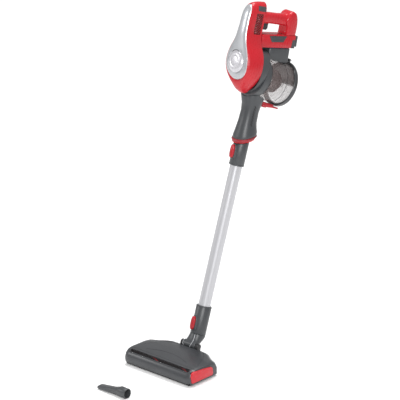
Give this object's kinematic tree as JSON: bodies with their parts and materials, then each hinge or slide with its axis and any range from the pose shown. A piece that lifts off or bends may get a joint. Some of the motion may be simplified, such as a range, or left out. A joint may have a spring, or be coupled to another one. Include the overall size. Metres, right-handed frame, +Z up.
{
  "type": "cordless stick vacuum",
  "caption": "Cordless stick vacuum: hand unit with clear dust cup, aluminium wand, and motorised floor head on a swivel elbow, with a loose crevice tool.",
  "frame": {"origin": "on the underside of the floor head's sole plate, at mid width of the head", "axes": "+Z up, -Y towards the front of the floor head, +X towards the red end cap of the brush"},
  "size_m": [0.2505, 0.7374, 0.9928],
  "materials": {
    "red_gloss": "glossy",
    "red_dark": "satin",
    "silver_panel": "satin metallic paint on plastic",
    "chrome_badge": "polished",
    "grey_plastic": "fine satin grain",
    "dark_plastic": "satin",
    "black_rubber": "matte",
    "aluminium": "brushed and anodised",
    "steel": "machined",
    "clear_cup": "clear smoky plastic",
    "smoked_window": "smoked plastic",
    "cyclone_brown": "satin translucent look",
    "filter_felt": "pleated felt",
    "copper": "enamelled winding",
    "board_green": "solder mask",
    "cell_wrap": "shrink sleeve",
    "bristle_red": "brush fibre"
  },
  "bodies": {
    "handheld": {"red_shell": "red_gloss", "vent_grille_left": "red_dark", "vent_grille_right": "red_dark", "silver_panel": "silver_panel", "badge_dome": "chrome_badge", "column_back": "red_gloss", "control_panel": "dark_plastic", "main_frame": "grey_plastic", "inlet_duct": "grey_plastic", "brush_ring": "red_dark", "motor_can": "steel", "motor_winding": "copper", "motor_mount_ring": "black_rubber", "exhaust_filter": "filter_felt", "pre_motor_filter": "filter_felt", "control_board": "board_green", "handle_bow": "red_gloss", "arm_cover": "red_gloss", "arm_inset_left": "grey_plastic", "arm_inset_right": "grey_plastic", "battery_tray": "grey_plastic", "battery_pack": "cell_wrap", "rear_cap": "grey_plastic", "charging_socket": "black_rubber", "trigger_switch": "black_rubber"},
    "trigger": {"trigger": "dark_plastic"},
    "boost_button": {"boost_button": "grey_plastic"},
    "impeller": {"impeller": "dark_plastic"},
    "cup": {"dust_cup": "clear_cup", "cyclone_shroud": "cyclone_brown", "filter_cartridge": "filter_felt"},
    "lid": {"lid_rim": "grey_plastic", "lid_window": "clear_cup", "lid_seal": "black_rubber", "lid_hinge_pin": "steel"},
    "latch": {"lid_latch": "red_gloss"},
    "wand": {"wand_tube": "aluminium", "upper_connector": "grey_plastic"},
    "upper_button": {"upper_button": "red_gloss"},
    "neck": {"lower_connector": "grey_plastic"},
    "lower_button": {"lower_button": "red_gloss"},
    "elbow": {"elbow_neck": "grey_plastic", "pivot_pin_left": "steel", "pivot_pin_right": "steel"},
    "head": {"head_cover": "grey_plastic", "brush_window": "smoked_window", "sole_plate": "dark_plastic", "hinge_lug_left": "dark_plastic", "hinge_lug_right": "dark_plastic", "brush_motor": "steel", "drive_belt": "black_rubber"},
    "end_cap": {"end_cap": "red_gloss", "brush_bearing": "steel"},
    "brush": {"brush_core": "dark_plastic", "bristle_strip_1": "bristle_red", "bristle_strip_2": "bristle_red"},
    "motor_pulley": {"motor_pulley": "steel"},
    "rear_wheel_left": {"rear_wheel_left": "black_rubber"},
    "rear_wheel_right": {"rear_wheel_right": "black_rubber"},
    "tool": {"crevice_tool": "grey_plastic"}
  },
  "joints": [
    {"name": "trigger_pull", "type": "hinge", "parent": "handheld", "child": "trigger", "pos_m": [-0.00469, 0.36306, 0.92396], "axis": [0.9848, -0.164, 0.0571], "range_deg": [0, 8], "stiffness_Nm_per_rad": 0.4, "springref_deg": -5.73},
    {"name": "boost_press", "type": "slide", "parent": "handheld", "child": "boost_button", "axis": [-0.1736, -0.93, 0.3239], "range_m": [0, 0.0012], "stiffness_N_per_m": 400, "springref_m": -0.001},
    {"name": "impeller_spin", "type": "hinge", "parent": "handheld", "child": "impeller", "pos_m": [0, 0.34509, 0.7915], "axis": [0.1736, 0.93, -0.3239], "continuous": true},
    {"name": "cup_release", "type": "slide", "parent": "handheld", "child": "cup", "axis": [0.1721, 0.8784, -0.4459], "range_m": [0, 0.1]},
    {"name": "lid_open", "type": "hinge", "parent": "cup", "child": "lid", "pos_m": [0.01802, 0.4549, 0.79609], "axis": [0.9848, -0.164, 0.0571], "range_deg": [0, 90]},
    {"name": "latch_press", "type": "hinge", "parent": "cup", "child": "latch", "pos_m": [0.0097, 0.36767, 0.68901], "axis": [-0.9848, 0.164, -0.0571], "range_deg": [0, 4], "stiffness_Nm_per_rad": 0.6, "springref_deg": -5.73},
    {"name": "wand_release", "type": "slide", "parent": "handheld", "child": "wand", "axis": [0, -0.3289, -0.9444], "range_m": [0, 0.06]},
    {"name": "upper_button_press", "type": "slide", "parent": "wand", "child": "upper_button", "axis": [0.1736, 0.93, -0.3239], "range_m": [0, 0.0025], "stiffness_N_per_m": 500, "springref_m": -0.001},
    {"name": "neck_release", "type": "slide", "parent": "wand", "child": "neck", "axis": [0, -0.3289, -0.9444], "range_m": [0, 0.035]},
    {"name": "lower_button_press", "type": "slide", "parent": "neck", "child": "lower_button", "axis": [0.1736, 0.93, -0.3239], "range_m": [0, 0.0025], "stiffness_N_per_m": 500, "springref_m": -0.001},
    {"name": "swivel", "type": "hinge", "parent": "neck", "child": "elbow", "pos_m": [0, 0.09516, 0.07377], "axis": [0, 0.3289, 0.9444], "range_deg": [-80, 60]},
    {"name": "head_tilt", "type": "hinge", "parent": "elbow", "child": "head", "pos_m": [0, 0.065, 0.05], "axis": [1, 0, 0], "range_deg": [-19.2, 65]},
    {"name": "end_cap_release", "type": "slide", "parent": "head", "child": "end_cap", "axis": [1, 0, 0], "range_m": [0, 0.03]},
    {"name": "brush_spin", "type": "hinge", "parent": "head", "child": "brush", "pos_m": [0, -0.044, 0.021], "axis": [1, 0, 0], "continuous": true},
    {"name": "brush_motor_spin", "type": "hinge", "parent": "head", "child": "motor_pulley", "pos_m": [-0.1, 0.002, 0.026], "axis": [1, 0, 0], "continuous": true},
    {"name": "wheel_spin_left", "type": "hinge", "parent": "head", "child": "rear_wheel_left", "pos_m": [0.09, 0.026, 0.01], "axis": [1, 0, 0], "continuous": true},
    {"name": "wheel_spin_right", "type": "hinge", "parent": "head", "child": "rear_wheel_right", "pos_m": [-0.09, 0.026, 0.01], "axis": [1, 0, 0], "continuous": true},
    {"name": "tool_lift", "type": "slide", "parent": "handheld", "child": "tool", "axis": [0, 0, 1], "range_m": [0, 0.05]}
  ],
  "couplings": [
    {"joint": "brush_motor_spin", "follows": "brush_spin", "ratio": 1.8}
  ]
}
